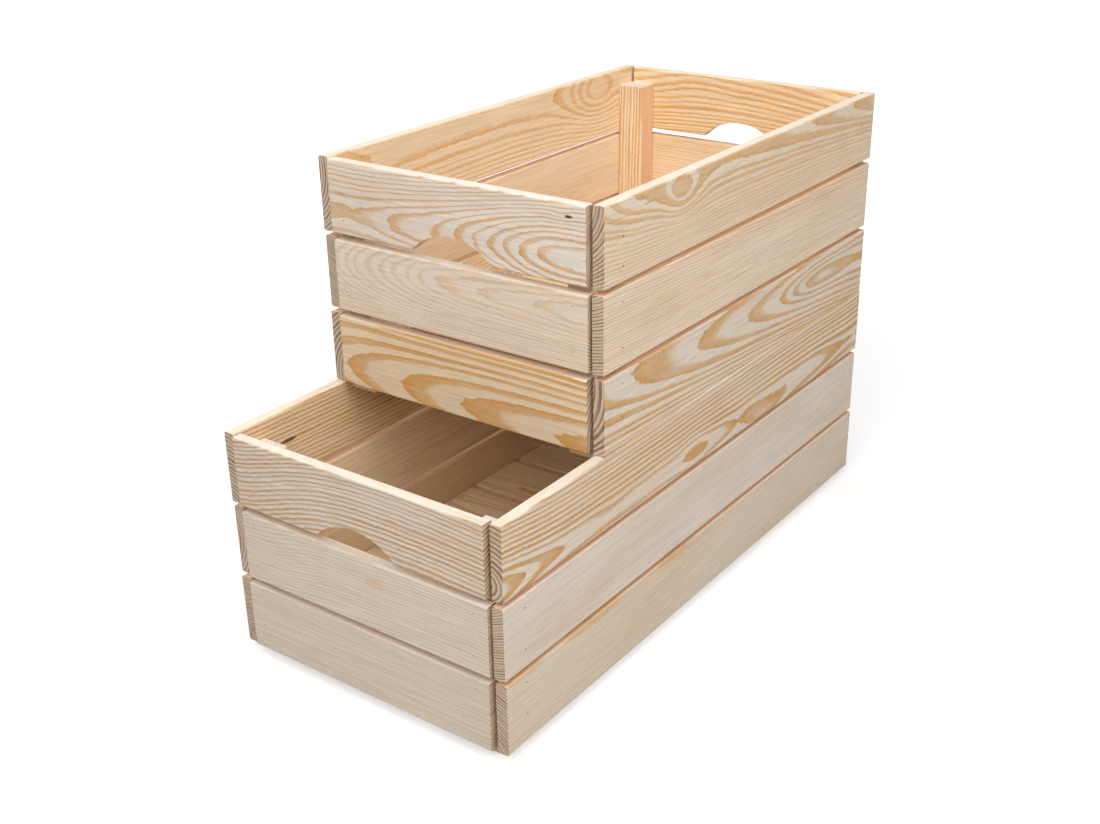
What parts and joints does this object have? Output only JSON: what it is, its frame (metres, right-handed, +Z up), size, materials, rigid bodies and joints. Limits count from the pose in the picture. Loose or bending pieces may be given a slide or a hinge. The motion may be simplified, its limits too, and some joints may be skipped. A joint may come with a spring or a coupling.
{
  "type": "stacking storage crates",
  "caption": "Two stacked slatted pine storage crates with corner posts and arched hand holes; the shorter upper crate lifts off and leaves the front of the lower one open.",
  "frame": {"origin": "on the ground under the middle of the lower crate, at the bottom of its feet", "axes": "+X to the right, +Y from the open front to the rear along the crates' length, +Z up"},
  "size_m": [0.324, 0.688, 0.465],
  "materials": {
    "slat_pine": "planed, untreated pine",
    "post_pine": "planed, untreated pine",
    "floor_pine": "planed, untreated pine",
    "pin_steel": "dull wire"
  },
  "bodies": {
    "lower_crate": {"lower_left_slat_bottom": "slat_pine", "lower_left_slat_middle": "slat_pine", "lower_left_slat_top": "slat_pine", "lower_right_slat_bottom": "slat_pine", "lower_right_slat_middle": "slat_pine", "lower_right_slat_top": "slat_pine", "lower_front_slat_bottom": "slat_pine", "lower_front_slat_middle": "slat_pine", "lower_front_slat_top": "slat_pine", "lower_rear_slat_bottom": "slat_pine", "lower_rear_slat_middle": "slat_pine", "lower_rear_slat_top": "slat_pine", "lower_front_left_post": "post_pine", "lower_front_right_post": "post_pine", "lower_rear_left_post": "post_pine", "lower_rear_right_post": "post_pine", "lower_left_cleat": "post_pine", "lower_right_cleat": "post_pine", "lower_floor_slat_1": "floor_pine", "lower_floor_slat_2": "floor_pine", "lower_floor_slat_3": "floor_pine", "lower_floor_slat_4": "floor_pine", "lower_floor_slat_5": "floor_pine", "lower_floor_slat_6": "floor_pine", "lower_floor_slat_7": "floor_pine", "lower_floor_slat_8": "floor_pine", "lower_side_pins": "pin_steel", "lower_end_pins": "pin_steel", "lower_floor_pins": "pin_steel", "lower_cleat_pins": "pin_steel"},
    "upper_crate": {"upper_left_slat_bottom": "slat_pine", "upper_left_slat_middle": "slat_pine", "upper_left_slat_top": "slat_pine", "upper_right_slat_bottom": "slat_pine", "upper_right_slat_middle": "slat_pine", "upper_right_slat_top": "slat_pine", "upper_front_slat_bottom": "slat_pine", "upper_front_slat_middle": "slat_pine", "upper_front_slat_top": "slat_pine", "upper_rear_slat_bottom": "slat_pine", "upper_rear_slat_middle": "slat_pine", "upper_rear_slat_top": "slat_pine", "upper_front_left_post": "post_pine", "upper_front_right_post": "post_pine", "upper_rear_left_post": "post_pine", "upper_rear_right_post": "post_pine", "upper_left_cleat": "post_pine", "upper_right_cleat": "post_pine", "upper_floor_slat_1": "floor_pine", "upper_floor_slat_2": "floor_pine", "upper_floor_slat_3": "floor_pine", "upper_floor_slat_4": "floor_pine", "upper_floor_slat_5": "floor_pine", "upper_floor_slat_6": "floor_pine", "upper_side_pins": "pin_steel", "upper_end_pins": "pin_steel", "upper_floor_pins": "pin_steel", "upper_cleat_pins": "pin_steel"}
  },
  "joints": [
    {"name": "upper_crate_lift", "type": "slide", "parent": "lower_crate", "child": "upper_crate", "axis": [0, 0, 1], "range_m": [0, 0.25]}
  ]
}
